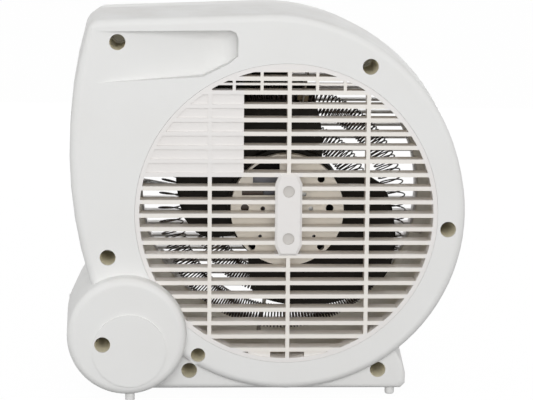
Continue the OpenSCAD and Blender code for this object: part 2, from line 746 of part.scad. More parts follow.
// Centre line of a coil: a helix whose axis is a ring. It leaves and reaches its terminals on
// that ring, so the curls open over the first and close over the last.
function curl_point(ring, a, turn_a, open) = let (q = curl_r * open, r = ring + q * cos(turn_a))
  [r * cos(a), coil_y + q * sin(turn_a), r * sin(a)];
function curl_out(a, turn_a) = [cos(turn_a) * cos(a), sin(turn_a), cos(turn_a) * sin(a)];
function opening(s, n) = let (t = min(1, s / 0.75, (n - s) / 0.75)) t * t * (3 - 2 * t);
function coil_line(ring, a0, a1, n) = [for (k = [0:n * curl_rings])
  let (s = k / curl_rings, a = a0 + (a1 - a0) * s / n)
    [curl_point(ring, a, 360 * s, opening(s, n)), curl_out(a, 360 * s)]];
// The straight run at each end, one wire thick, square to its terminal
function straight_end(from, a, way) =
  [from[0] + way * 2 * wire_r * [-sin(a), 0, cos(a)], from[1]];

module wire_tube(line) {
  n = len(line);
  function along(i) = let (d = line[min(i + 1, n - 1)][0] - line[max(i - 1, 0)][0]) d / norm(d);
  function ring(i) = let (
    t = along(i),
    e0 = line[i][1] - (line[i][1] * t) * t,
    e = e0 / norm(e0),
    b = cross(t, e))
    [for (k = [0:wire_sides - 1]) let (w = 360 * k / wire_sides)
      line[i][0] + wire_r * (cos(w) * e + sin(w) * b)];
  points = [for (i = [0:n - 1]) each ring(i)];
  function id(i, k) = i * wire_sides + k % wire_sides;
  sides = [for (i = [0:n - 2]) for (k = [0:wire_sides - 1])
    each [[id(i, k), id(i + 1, k), id(i + 1, k + 1)], [id(i, k), id(i + 1, k + 1), id(i, k + 1)]]];
  caps = [for (k = [1:wire_sides - 2])
    each [[0, k, k + 1], [id(n - 1, 0), id(n - 1, k + 1), id(n - 1, k)]]];
  polyhedron(points, concat(sides, caps));
}

terminal_gap = mica_t / 2 + terminal_t + 2 * wire_r + 0.02;
function coil_route(ring, n) = let (
  skip = terminal_gap * 180 / (PI * ring),
  a0 = coil_a + skip,
  a1 = coil_a + 360 - skip,
  line = coil_line(ring, a0, a1, n))
    concat([straight_end(line[0], a0, -1)], line, [straight_end(line[len(line) - 1], a1, 1)]);

inner_route = coil_route(inner_ring_r, inner_curls);
outer_route = coil_route(outer_ring_r, outer_curls);

function least_gap(route) = min([for (i = [0:2:len(route) - 1]) for (j = [i + 5:2:len(route) - 1])
  norm(route[i][0] - route[j][0])]) - 2 * wire_r;

module heating_coil_inner() color("silver") on_coil_axis() wire_tube(inner_route);
module heating_coil_outer() color("silver") on_coil_axis() wire_tube(outer_route);

module heater_terminals() color("goldenrod") on_coil_axis()
  for (ring = [inner_ring_r, outer_ring_r]) for (z = [mica_t / 2, -mica_t / 2 - terminal_t])
    rotate([0, -coil_a, 0]) translate([ring - 2, coil_y - terminal_h / 2, z])
      cube([4, terminal_h, terminal_t]);

module thermal_cutout() color("black") on_coil_axis() rotate([0, -coil_a, 0])
  translate([30, mica_mid + 4.5, mica_t / 2 + 0.02]) cylinder(r = 6, h = 4.5);

module thermal_fuse() color("silver") on_coil_axis() rotate([0, -coil_a, 0])
  translate([-40, mica_mid + 4.5, mica_t / 2 + 1.6]) rotate([0, 90, 0]) cylinder(r = 1.6, h = 12);

// Controls

bushing_r = 5;
nut_r = 8;
nut_t = 2.5;
knob_rim = 1.6;

// A knob on a face at distance y from the seam, with a grip bar across it
module knob(at, r, y) color("white") in_place() translate([at[0], y + knob_gap, at[1]])
  rotate([-90, 0, 0]) difference() {
    union() {
      rotate_extrude() polygon([[0, 0], [r, 0], [r, 2.5], [r - 1.2, 4], [0, 4]]);
      rotate_extrude() polygon([[0, 3], [r - 3, 3], [r - 4.2, knob_h - 4], [r - 5.2, knob_h - 3],
        [0, knob_h - 3]]);
      translate([-2.5, -r + 3.5, 3]) cube([5, 2 * r - 7, knob_h - 3]);
    }
    translate([0, 0, -1]) cylinder(r = nut_r + 1.5, h = nut_t + 2.5);
    translate([0, 0, -1]) cylinder(r = spindle_r, h = knob_h - 3);
  }

module selector_knob() knob(selector_at, selector_r, half);
module thermostat_knob() knob(thermostat_at, thermostat_r, drum_front);

module spindle(at, y) color("silver") in_place()
  rod(at[0], at[1], spindle_r, y - wall - 14, y + knob_gap + knob_h - 4);
module selector_spindle() spindle(selector_at, half);
module thermostat_spindle() spindle(thermostat_at, drum_front);

// A switch or thermostat behind the wall: a block, and a bushing through the wall
module control_body(at, y, w, h, t) in_place() difference() {
  union() {
    translate([at[0] - w / 2, y - wall - t, at[1] - h / 2]) cube([w, t, h]);
    rod(at[0], at[1], bushing_r, y - wall - 1, y + nut_t + 0.3);
  }
  rod(at[0], at[1], spindle_r + spindle_gap, y - wall - 14 - fit, y + 10);
}
module selector_switch() color("#222222") control_body(selector_at, half, 28, 28, 20);
module thermostat_body() color("#444444") control_body(thermostat_at, drum_front, 18, 30, 18);

module thermostat_blade() color("silver") in_place()
  translate([thermostat_at[0] - 5, drum_front - wall - 18 - 2, thermostat_at[1] - 12])
    cube([10, 2, 24]);

module nut(at, y) color("silver") in_place() slab(y, y + nut_t) translate(at) difference() {
  circle(r = nut_r, $fn = 6);
  circle(r = bushing_r);
}
module selector_nut() nut(selector_at, half);
module thermostat_nut() nut(thermostat_at, drum_front);

lamp_deep = 9;
module pilot_lamp() color("orange") in_place() {
  rod(lamp_at[0], lamp_at[1], lamp_r + 1.2, half, half + 1.4);
  rod(lamp_at[0], lamp_at[1], lamp_r, half - lamp_deep, half + 1);
}

module pilot_lamp_holder() color("white") in_place() difference() {
  rod(lamp_at[0], lamp_at[1], lamp_r + 2, half - lamp_deep - 11, half - wall);
  rod(lamp_at[0], lamp_at[1], lamp_r + 0.1, half - lamp_deep - 0.1, half + 1);
}

// Mains connection

block_size = [14, 16, 40];
block_at = [left_side + 11, lamp_at[1] - lamp_r - 12 - block_size[2]];
block_y = half - wall - block_size[1];
function way_z(k) = block_at[1] + block_size[2] / 8 * (2 * k + 1);
module terminal_block() color("ivory") in_place() difference() {
  translate([block_at[0], block_y, block_at[1]]) cube(block_size);
  for (k = [0:3]) {
    rod(block_at[0] + block_size[0] / 2, way_z(k), 2.2, block_y - 1, block_y + 11);
    translate([block_at[0] - 1, block_y + 6, way_z(k)]) rotate([0, 90, 0])
      cylinder(r = 1.8, h = block_size[0] + 2);
  }
}

module terminal_screws() color("goldenrod") in_place() for (k = [0:3])
  rod(block_at[0] + block_size[0] / 2, way_z(k), 2.1, block_y + 1, block_y + 4);

cord_y = 25;
cord_neck_r = cord_hole_r + 1.2;
cord_wall_x = -drum_x - drum_r + lean * cord_y;
module cord_bushing() color("white") in_place() translate([cord_wall_x, cord_y, -drum_z])
  rotate([0, 90, 0]) difference() {
    union() {
      translate([0, 0, -1.1]) cylinder(r = cord_neck_r + 1.8, h = 1.1 - 0.9);
      translate([0, 0, -1.1]) cylinder(r = cord_neck_r, h = wall + 5);
      translate([0, 0, wall + 1.6]) cylinder(r = cord_neck_r + 1.8, h = 2.3);
    }
    translate([0, 0, -3]) cylinder(r = cord_hole_r, h = 20);
  }

clamp_x = -drum_x - 25;
clamp_arm = 9;
module cord_saddle() difference() {
  union() {
    for (s = [-1, 1])
      rod(clamp_x, -drum_z + s * clamp_arm, 3.6, cord_y - 4, drum_front - wall + bite);
    translate([clamp_x - 2, cord_y + 4, -drum_z - clamp_arm])
      cube([4, drum_front - wall + bite - cord_y - 4, 2 * clamp_arm]);
  }
  for (s = [-1, 1]) rod(clamp_x, -drum_z + s * clamp_arm, 1.2, cord_y - 5, cord_y + 9);
}

module cord_clamp() color("white") in_place() difference() {
  translate([clamp_x - 4, cord_y - 4 - 3, -drum_z - clamp_arm - 4]) cube([8, 3, 2 * clamp_arm + 8]);
  for (s = [-1, 1]) rod(clamp_x, -drum_z + s * clamp_arm, 1.7, cord_y - 8, cord_y);
}

module cord_clamp_screws() color("silver") in_place() for (s = [-1, 1]) {
  rod(clamp_x, -drum_z + s * clamp_arm, 2.8, cord_y - 9, cord_y - 7);
  rod(clamp_x, -drum_z + s * clamp_arm, 1.2, cord_y - 8, cord_y + 6);
}

// Screws and feet

module casing_screw(at, shank, head, length) {
  rod(at[0], at[1], head, -well_floor - 2.6, -well_floor);
  rod(at[0], at[1], shank - 0.4, -well_floor - 1, -well_floor + length);
}
module casing_screws() color("silver") in_place() for (w = wells) casing_screw(w, screw_r, 3.8, screw_depth);
module small_casing_screw() color("silver") in_place()
  casing_screw(small_well, screw_m3 + 0.1, 3.2, screw_depth - 3);

module foot(i) color("white") in_place() translate([feet[i][0], feet[i][1], -axis_h]) {
  rotate_extrude() polygon([[0, 0], [foot_r - 0.6, 0], [foot_r, 0.6], [foot_r, 8], [0, 8]]);
}
module foot_rear_left() foot(0);
module foot_rear_right() foot(1);
module foot_front_left() foot(2);
module foot_front_right() foot(3);

echo(str("heating coils: least gap ", min(least_gap(inner_route), least_gap(outer_route)), " mm"));

rear_shell();
front_shell();
rear_grille();
front_grille();
outlet_baffle();
fan_duct();
wiring_cover();
motor_cover();
rear_bracket();
front_bracket();
rear_bearing();
front_bearing();
stator_core();
stator_winding();
motor_rotor();
motor_shaft();
motor_mount_screws();
motor_through_screws();
impeller();
impeller_clip();
mica_plate_rising();
mica_plate_falling();
heating_coil_inner();
heating_coil_outer();
heater_terminals();
thermal_cutout();
thermal_fuse();
selector_knob();
selector_spindle();
selector_switch();
selector_nut();
thermostat_knob();
thermostat_spindle();
thermostat_body();
thermostat_blade();
thermostat_nut();
pilot_lamp();
pilot_lamp_holder();
terminal_block();
terminal_screws();
cord_bushing();
cord_clamp();
cord_clamp_screws();
casing_screws();
small_casing_screw();
foot_rear_left();
foot_rear_right();
foot_front_left();
foot_front_right();
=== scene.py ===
"""Dresses the fan heater: soft moulded edges, wound heating coils, screw wells and dimples tinted
with painted light and shade, and finishes.
"""

import math

import bmesh
import bpy
from bpy.props import FloatProperty, FloatVectorProperty, IntProperty, PointerProperty
from mathutils import Matrix, Quaternion, Vector


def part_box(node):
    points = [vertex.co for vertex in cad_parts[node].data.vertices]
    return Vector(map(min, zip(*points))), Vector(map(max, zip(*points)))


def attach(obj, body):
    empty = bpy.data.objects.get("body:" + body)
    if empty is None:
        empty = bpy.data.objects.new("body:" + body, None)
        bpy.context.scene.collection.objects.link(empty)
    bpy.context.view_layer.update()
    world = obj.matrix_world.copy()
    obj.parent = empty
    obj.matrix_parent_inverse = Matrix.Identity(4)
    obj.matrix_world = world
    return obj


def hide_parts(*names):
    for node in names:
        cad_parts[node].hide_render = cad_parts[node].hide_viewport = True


bl_info = {
    "name": "Fan heater",
    "version": (1, 0, 0),
    "blender": (4, 5, 0),
    "location": "View3D > Sidebar > Fan heater",
    "description": "Builds the pieces and finishes of an upright fan heater",
    "category": "Object",
}

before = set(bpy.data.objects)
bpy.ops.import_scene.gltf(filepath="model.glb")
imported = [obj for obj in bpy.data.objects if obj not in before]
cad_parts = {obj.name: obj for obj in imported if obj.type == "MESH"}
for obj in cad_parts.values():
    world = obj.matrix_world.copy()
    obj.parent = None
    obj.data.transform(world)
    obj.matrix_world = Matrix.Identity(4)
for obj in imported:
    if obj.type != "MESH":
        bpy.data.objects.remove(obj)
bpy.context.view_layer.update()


def middle(node):
    """The middle of a node's box."""
    low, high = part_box(node)
    return (low + high) / 2


# Places that the solids give: the axes of the duct and of the middle plate, where the coils lie
# along Y, and the rear face of the inlet grille
DUCT_AXIS = middle("fan_duct")
COIL_Y = middle("heating_coil_inner").y
PLATE_AXIS = middle("motor_mount_screws")
REAR_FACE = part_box("rear_grille")[0].y

# Width of the soft edges of the pieces that have no setting for it
INNER_EDGE = 0.0004


# Settings

class CasingSettings(bpy.types.PropertyGroup):
    white: FloatVectorProperty(
        name="Casing colour", description="White of the moulded casing", subtype="COLOR",
        size=3, min=0, max=1, default=(0.785, 0.785, 0.775))
    edge: FloatProperty(
        name="Soft edge", description="Width of the soft edges of the casing", unit="LENGTH",
        min=0.0001, max=0.001, default=0.00045)
    gloss: FloatProperty(
        name="Roughness", description="Roughness of the moulded casing", min=0.1, max=0.9,
        default=0.56)


class GrilleSettings(bpy.types.PropertyGroup):
    ivory: FloatVectorProperty(
        name="Grille colour", description="Warm white of the inlet grille", subtype="COLOR",
        size=3, min=0, max=1, default=(0.795, 0.775, 0.760))
    # The slat colour is painted light: a warmer tint for the light that bounces inside the grille
    # and through the slats
    slats: FloatVectorProperty(
        name="Slat colour", description="The slats, which warm air has yellowed", subtype="COLOR",
        size=3, min=0, max=1, default=(0.815, 0.783, 0.735))
    edge: FloatProperty(
        name="Soft edge", description="Width of the soft edges of the slats", unit="LENGTH",
        min=0.0001, max=0.001, default=0.0004)


class FanSettings(bpy.types.PropertyGroup):
    black: FloatVectorProperty(
        name="Fan colour", description="Black of the moulded fan", subtype="COLOR", size=3,
        min=0, max=1, default=(0.020, 0.017, 0.013))
    cream: FloatVectorProperty(
        name="Motor cover colour", description="Cream of the motor cover", subtype="COLOR",
        size=3, min=0, max=1, default=(0.95, 0.90, 0.81))


class CoilSettings(bpy.types.PropertyGroup):
    wire: FloatProperty(
        name="Wire radius", description="Radius of the resistance wire", unit="LENGTH",
        min=0.0002, max=0.0005, default=0.00045)
    curl: FloatProperty(
        name="Curl radius", description="Radius of a curl to the middle of its wire",
        unit="LENGTH", min=0.0076, max=0.0079, default=0.0076)
    inner_curls: IntProperty(
        name="Inner curls", description="Curls in the inner coil", min=43, max=140, default=130)
    outer_curls: IntProperty(
        name="Outer curls", description="Curls in the outer coil", min=56, max=220, default=200)
    sag: FloatProperty(
        name="Sag", description="How much closer the curls lie at the bottom than at the top",
        min=0, max=0.4, default=0.2)


class StudioSettings(bpy.types.PropertyGroup):
    azimuth: FloatProperty(
        name="Camera azimuth", description="Angle round the heater", subtype="ANGLE",
        default=math.radians(-2.345))
    elevation: FloatProperty(
        name="Camera elevation", description="Angle above the horizon", subtype="ANGLE",
        default=math.radians(10.114))
    roll: FloatProperty(
        name="Camera roll", description="Turn about the line of sight", subtype="ANGLE",
        default=math.radians(0.4756))
    distance: FloatProperty(
        name="Camera distance", description="Distance to the aim point", unit="LENGTH",
        default=1.3)
    lens: FloatProperty(
        name="Focal length", description="Focal length in millimetres on a 36 mm sensor",
        default=139.907)
    aim: FloatVectorProperty(
        name="Aim point", description="Point that the camera looks at", subtype="XYZ",
        unit="LENGTH", size=3, default=(-0.0000377, -0.06115, 0.1284967))
    sky: FloatProperty(
        name="Room light", description="Strength of the even light from all round", min=0, max=3,
        default=0.57)
    key: FloatProperty(
        name="Key light", description="Power of the large soft lamp over the camera, in watts",
        min=0, max=200, default=10.3)


SETTINGS = {
    "heater_casing": CasingSettings,
    "heater_grille": GrilleSettings,
    "heater_fan": FanSettings,
    "heater_coils": CoilSettings,
    "heater_studio": StudioSettings,
}


# Shader maths

class Level:
    """A number in a material that varies over the surface. Python's operators add Math nodes."""

    def __init__(self, finish, socket):
        self.finish, self.socket = finish, socket

    def _maths(self, operation, *terms, clamp=False):
        node = self.finish.node("Math", {"operation": operation, "use_clamp": clamp}, *terms)
        return Level(self.finish, node.outputs[0])

    def __add__(self, other): return self._maths("ADD", self, other)
    def __radd__(self, other): return self._maths("ADD", other, self)
    def __sub__(self, other): return self._maths("SUBTRACT", self, other)
    def __rsub__(self, other): return self._maths("SUBTRACT", other, self)
    def __mul__(self, other): return self._maths("MULTIPLY", self, other)
    def __rmul__(self, other): return self._maths("MULTIPLY", other, self)

    def clamped(self):
        """The level, held between 0 and 1."""
        return self._maths("ADD", self, 0.0, clamp=True)

    def above(self, low, high):
        """0 below low, 1 over high, and smooth between."""
        node = self.finish.node("MapRange", {"interpolation_type": "SMOOTHSTEP"}, self, low, high,
                                0.0, 1.0)
        return Level(self.finish, node.outputs[0])


class Finish:
    """A material on the Principled shader, with the few calls that its patterns need."""

    def __init__(self, name, **constants):
        self.material = bpy.data.materials.new(name)
        self.material.use_nodes = True
        self.tree = self.material.node_tree
        self.shader = self.tree.nodes["Principled BSDF"]
        self.place = self.node("TexCoord").outputs["Object"]
        for socket, value in constants.items():
            self.shader.inputs[socket.replace("_", " ")].default_value = value

    def node(self, kind, settings=None, *values, **named):
        """One node of a kind, its settings first, then the values or links of its sockets."""
        node = self.tree.nodes.new("ShaderNode" + kind)
        for key, value in (settings or {}).items():
            setattr(node, key, value)
        for key, value in list(enumerate(values)) + list(named.items()):
            socket = node.inputs[key if isinstance(key, int) else key.replace("_", " ")]
            self.feed(socket, value)
        return node

    def feed(self, socket, value):
        """Links a socket to a level or to another socket, or sets it to a plain value."""
        if isinstance(value, Level):
            value = value.socket
        if isinstance(value, bpy.types.NodeSocket):
            self.tree.links.new(value, socket)
        else:
            socket.default_value = value

    def noise(self, scale, detail=2.0, rough=0.5, place=None):
        """Even noise from 0 to 1. The scale is in features per metre."""
        node = self.node("TexNoise", None, Vector=place or self.place, Scale=scale, Detail=detail,
                         Roughness=rough)
        return Level(self, node.outputs["Fac"])

    def stretched(self, scale):
        """Object coordinates, stretched by a factor on each axis."""
        return self.node("Mapping", None, Vector=self.place, Scale=scale).outputs[0]

    def axis(self, name, of=None):
        """One part of a vector, or of the Object coordinates if none is given."""
        node = self.node("SeparateXYZ", None, of or self.place)
        return Level(self, node.outputs[name])

    def facing(self, name):
        """How far the surface faces along an axis, from -1 to 1."""
        return self.axis(name, self.node("NewGeometry").outputs["Normal"])

    def mix(self, amount, first, second):
        """A colour between two colours."""
        node = self.node("Mix", {"data_type": "RGBA"})
        for index, value in ((0, amount), (6, first), (7, second)):
            if isinstance(value, (tuple, list)) and len(value) == 3:
                value = (*value, 1.0)
            self.feed(node.inputs[index], value)
        return node.outputs[2]

    def paint(self, colour, rough, height, depth):
        """Feeds the shader. Height is a level of relief and depth its size in metres."""
        self.feed(self.shader.inputs["Base Color"], colour)
        self.feed(self.shader.inputs["Roughness"], rough)
        bump = self.node("Bump", None, Strength=1.0, Distance=depth, Height=height)
        self.feed(self.shader.inputs["Normal"], bump.outputs[0])
        return self.material


def shade(colour, factor, warm=0.0):
    """A colour made lighter or darker by a factor, and warmer or cooler by a share."""
    return (colour[0] * factor * (1 + warm), colour[1] * factor, colour[2] * factor * (1 - warm))


def moulded(name, colour, rough, soil_and_shade=0.25, texture=1.0, hollows=(1.15, 1.09, 0.91),
            bounce_tint=None):
    """Moulded plastic: spark-eroded grain, faint flow marks, handling wear, and darker patches
    on upward faces that are partly settled dust and partly painted shade. Where a mesh is marked
    as a hollow, the given factors tint it with painted light and shade: warm bounced light in the
    screw wells, shade in the dimples. The bounce tint is a function that gives the level of a zone
    painted with warm bounce light, and the colour of that zone; deeper behind the rear face that
    zone is painted darker still, as shade."""
    colour = tuple(colour)
    f = Finish(name, Specular_IOR_Level=0.25)
    flow = f.noise(22, 3, 0.55)
    grain = f.noise(2600, 2, 0.6)
    sink = f.noise(9, 1)
    scuff = f.noise(70, 6, 0.72, f.stretched((1.0, 1.0, 2.6))).above(0.60, 0.74)
    # Patches darker on upward faces: partly settled dust, partly painted shade
    dust_and_shade = f.facing("Z").above(0.35, 0.95) * f.noise(45, 5, 0.65).above(0.35, 0.75)
    base = f.mix(flow.above(0.35, 0.7) * 0.5, colour, shade(colour, 0.965, 0.008))
    if bounce_tint:
        zone, bounce_colour = bounce_tint[0](f), bounce_tint[1]
        # Painted shade: more than 2 mm behind the rear face the slats' zone turns darker and
        # warmer
        deep = f.axis("Y").above(REAR_FACE + 0.002, REAR_FACE + 0.009)
        # Painted warm bounce light on the slats' zone
        base = f.mix(zone, base, bounce_colour)
        base = f.mix(zone * deep, base, shade(bounce_colour, 0.90, 0.05))
    base = f.mix(scuff * (0.22 * soil_and_shade), base, shade(colour, 0.72, 0.03))
    base = f.mix(dust_and_shade * (0.9 * soil_and_shade), base, shade(colour, 0.80, 0.04))
    # Painted light and shade in the marked hollows: lighter and warmer in the screw wells, darker
    # in the dimples
    hollow = Level(f, f.node("Attribute", {"attribute_name": "hollow"}).outputs["Fac"])
    hollow_shade_colour = tuple(part * factor for part, factor in zip(colour, hollows))
    base = f.mix(hollow.above(0.0, 0.06), base, hollow_shade_colour)
    return f.paint(base, rough + flow * 0.07 - 0.035 + scuff * 0.10 + dust_and_shade * 0.12,
                   height=grain * (0.35 * texture) + sink * 0.8, depth=0.00006)


def slats_only(f):
    """1 on the slats and walls that the air passes, 0 on the rim's face, the middle plate and
    the closed part: the zone that the grille's material paints with warm bounce light. Each pair
    of numbers is the zone in which one of these borders fades."""
    rim_edge = (0.0905, 0.0925)
    closed_low, closed_right = (0.0205, 0.0225), (0.0267, 0.0277)
    plate_half_width, plate_half_height = (0.0082, 0.0090), (0.0257, 0.0265)

    def squares(ends):
        return [end ** 2 for end in ends]

    x, z = f.axis("X") - DUCT_AXIS.x, f.axis("Z") - DUCT_AXIS.z
    rim = (x * x + z * z).above(*squares(rim_edge)) * (0 - f.facing("Y")).above(0.4, 0.8)
    closed = z.above(*closed_low) * (0 - x).above(*closed_right)
    across, up = f.axis("X") - PLATE_AXIS.x, f.axis("Z") - PLATE_AXIS.z
    plate = ((1 - (across * across).above(*squares(plate_half_width)))
             * (1 - (up * up).above(*squares(plate_half_height))))
    return (1 - rim - closed - plate).clamped()


def black_plastic(name, colour, rough=0.5):
    """Black moulding with a bloom of grey dust where the air brings it."""
    colour = tuple(colour)
    f = Finish(name, Specular_IOR_Level=0.15)
    lint = f.noise(160, 6, 0.7).above(0.5, 0.78)
    cloud = f.noise(26, 3).above(0.35, 0.75)
    base = f.mix(lint * cloud * 0.3, colour, (0.085, 0.078, 0.068))
    return f.paint(base, rough + cloud * 0.18 + lint * 0.15,
                   height=f.noise(1800, 2) * 0.4 + lint * 0.6, depth=0.00005)


def sheet_metal(name, colour, rough, streak=(1.0, 14.0, 1.0), metal=0.85):
    """Rolled or drawn sheet: fine streaks along one axis, cloudy oxide and small pits."""
    f = Finish(name, Metallic=metal)
    lines = f.noise(420, 4, 0.6, f.stretched(streak))
    cloud = f.noise(38, 4, 0.6)
    pits = f.noise(900, 2).above(0.66, 0.8)
    base = f.mix(lines * 0.55, shade(colour, 1.06), shade(colour, 0.82))
    base = f.mix(cloud.above(0.45, 0.8) * 0.45, base, shade(colour, 0.74, 0.03))
    return f.paint(base, rough + lines * 0.14 + cloud * 0.1 - 0.1, height=lines * 0.5 - pits * 0.7,
                   depth=0.00003)


def hot_wire(name):
    """Resistance wire, blued and browned by heat along its length."""
    f = Finish(name, Metallic=0.75)
    heat = f.noise(60, 3, 0.6)
    scale = f.noise(1500, 3)
    base = f.mix(heat.above(0.3, 0.7), (0.055, 0.052, 0.055), (0.13, 0.095, 0.075))
    base = f.mix(scale.above(0.6, 0.75) * 0.5, base, (0.22, 0.20, 0.19))
    return f.paint(base, 0.42 + scale * 0.2, height=scale, depth=0.00003)


def pressed_mica(name):
    """Layered mica board: silky flakes in amber and grey."""
    f = Finish(name, Specular_IOR_Level=0.6)
    flakes = f.node("TexVoronoi", {"feature": "F1"}, Vector=f.place, Scale=420.0)
    tone = Level(f, f.node("SeparateColor", None, flakes.outputs["Color"]).outputs[0])
    layer = f.noise(90, 4)
    base = f.mix(tone, (0.30, 0.26, 0.21), (0.42, 0.38, 0.32))
    base = f.mix(layer.above(0.45, 0.7) * 0.5, base, (0.22, 0.19, 0.15))
    return f.paint(base, 0.38 + tone * 0.25, height=tone * 0.5 + layer, depth=0.00006)


def wound_tape(name, colour):
    """Enamelled copper under varnished tape: the wires show as fine ribs."""
    f = Finish(name, Specular_IOR_Level=0.55)
    ribs = f.node("TexWave", {"bands_direction": "Y", "wave_profile": "SIN"}, Vector=f.place,
                  Scale=380.0, Distortion=0.6, Detail=1.0)
    rib = Level(f, ribs.outputs["Fac"])
    base = f.mix(rib, shade(colour, 0.72), shade(colour, 1.12))
    base = f.mix(f.noise(150, 3).above(0.5, 0.8) * 0.4, base, shade(colour, 0.5))
    return f.paint(base, 0.3 + rib * 0.1, height=rib, depth=0.0002)


def laminations(name, colour):
    """A stack of stamped sheets, with the joints showing at its edges."""
    f = Finish(name, Metallic=0.6)
    sheets = f.node("TexWave", {"bands_direction": "Y", "wave_profile": "SAW"}, Vector=f.place,
                    Scale=160.0)
    edge = Level(f, sheets.outputs["Fac"])
    rust = f.noise(130, 5, 0.7).above(0.58, 0.75)
    base = f.mix(edge, shade(colour, 0.75), shade(colour, 1.1))
    base = f.mix(rust * 0.5, base, (0.22, 0.11, 0.06))
    return f.paint(base, 0.45 + rust * 0.3, height=edge, depth=0.00012)


def amber_lens(name):
    """Clear amber plastic over a neon lamp, with a prismatic inside."""
    f = Finish(name, Transmission_Weight=0.55, IOR=1.49)
    ribs = f.node("TexWave", {"wave_type": "RINGS", "rings_direction": "Y"}, Vector=f.place,
                  Scale=300.0)
    rib = Level(f, ribs.outputs["Fac"])
    base = f.mix(rib, (0.75, 0.20, 0.03), (0.95, 0.42, 0.10))
    return f.paint(base, 0.12 + rib * 0.1, height=rib, depth=0.0001)


# Mesh helpers

def weigh_normals(obj):
    """Weighs the normals by the faces' areas, so that flat faces look flat up to a soft edge."""
    weigh = obj.modifiers.new("weigh", "WEIGHTED_NORMAL")
    weigh.keep_sharp = True
    bpy.context.view_layer.update()
    graph = bpy.context.evaluated_depsgraph_get()
    plain, obj_eval = obj.data, obj.evaluated_get(graph)
    obj.data = bpy.data.meshes.new_from_object(obj_eval, depsgraph=graph)
    obj.modifiers.clear()
    bpy.data.meshes.remove(plain)
    obj.data.name = obj.name


def piece(name, bm, body, material, stands_for=(), smooth=30, level=False):
    """Makes an object of a finished bmesh, which rides on a body and shows a material. Edges that
    turn by over the angle smooth stay sharp, and level keeps flat faces flat beside soft edges."""
    mesh = bpy.data.meshes.new(name)
    bm.to_mesh(mesh)
    bm.free()
    for polygon in mesh.polygons:
        polygon.use_smooth = True
    mesh.set_sharp_from_angle(angle=math.radians(smooth))
    mesh.materials.append(material)
    obj = bpy.data.objects.new(name, mesh)
    bpy.context.scene.collection.objects.link(obj)
    if level:
        weigh_normals(obj)
    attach(obj, body)
    if stands_for:
        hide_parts(*stands_for)
    return obj


def merged_copy(node):
    """A node's own shape as a bmesh with its doubles merged and its flat faces joined."""
    doubles, flat = 2e-6, math.radians(0.4)
    bm = bmesh.new()
    bm.from_mesh(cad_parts[node].data)
    bmesh.ops.remove_doubles(bm, verts=bm.verts, dist=doubles)
    bmesh.ops.dissolve_degenerate(bm, dist=doubles, edges=bm.edges)
    bmesh.ops.dissolve_limit(bm, angle_limit=flat, verts=bm.verts, edges=bm.edges)
    return bm


def islands(node):
    """The middles of a node's separate solids."""
    bm = merged_copy(node)
    found, seen = [], set()
    for start in bm.verts:
        if start in seen:
            continue
        seen.add(start)
        group = [start]
        for vert in group:
            near = [edge.other_vert(vert) for edge in vert.link_edges]
            group += [v for v in near if v not in seen]
            seen.update(near)
        found.append(sum((v.co for v in group), Vector()) / len(group))
    bm.free()
    return found


def soften(bm, width, segments):
    """Rounds every sharp edge, as a mould's edges are."""
    sharp = math.radians(35)
    edges = [e for e in bm.edges if e.is_manifold and e.calc_face_angle(0) > sharp]
    bmesh.ops.bevel(bm, geom=edges, offset=width, offset_type="OFFSET", affect="EDGES",
                    segments=segments, profile=0.5, material=-1, clamp_overlap=True)


def dress(node, name, body, material, edge, segments=2):
    """A finer copy of a node, with soft edges, that stands for it."""
    bm = merged_copy(node)
    soften(bm, edge, segments)
    return piece(name, bm, body, material, (node,), level=True)


def mark_hollows(mesh, axes, radius, depth):
    """Marks how deep the faces in some hollows lie below the mouth, as a share of the depth. The
    hollows stand round axes along Y, and no face outside them is marked."""
    marks = mesh.attributes.new("hollow", "FLOAT", "CORNER")
    for at in axes:
        inside = {v.index: v.co.y for v in mesh.vertices
                  if math.hypot(v.co.x - at.x, v.co.z - at.z) < radius}
        mouth = min(inside.values(), default=0)
        for polygon in mesh.polygons:
            if all(index in inside for index in polygon.vertices):
                for corner, index in zip(polygon.loop_indices, polygon.vertices):
                    marks.data[corner].value = (inside[index] - mouth) / depth


def finish_nodes(material, *nodes):
    """Shows solids as they are, in a material."""
    for node in nodes:
        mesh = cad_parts[node].data
        mesh.materials.clear()
        mesh.materials.append(material)


class BuildStep:
    """What the operators share: each builds its pieces in the current scene."""
    bl_options = {"REGISTER", "UNDO"}

    def execute(self, context):
        self.build(context.scene)
        return {"FINISHED"}


# Pieces

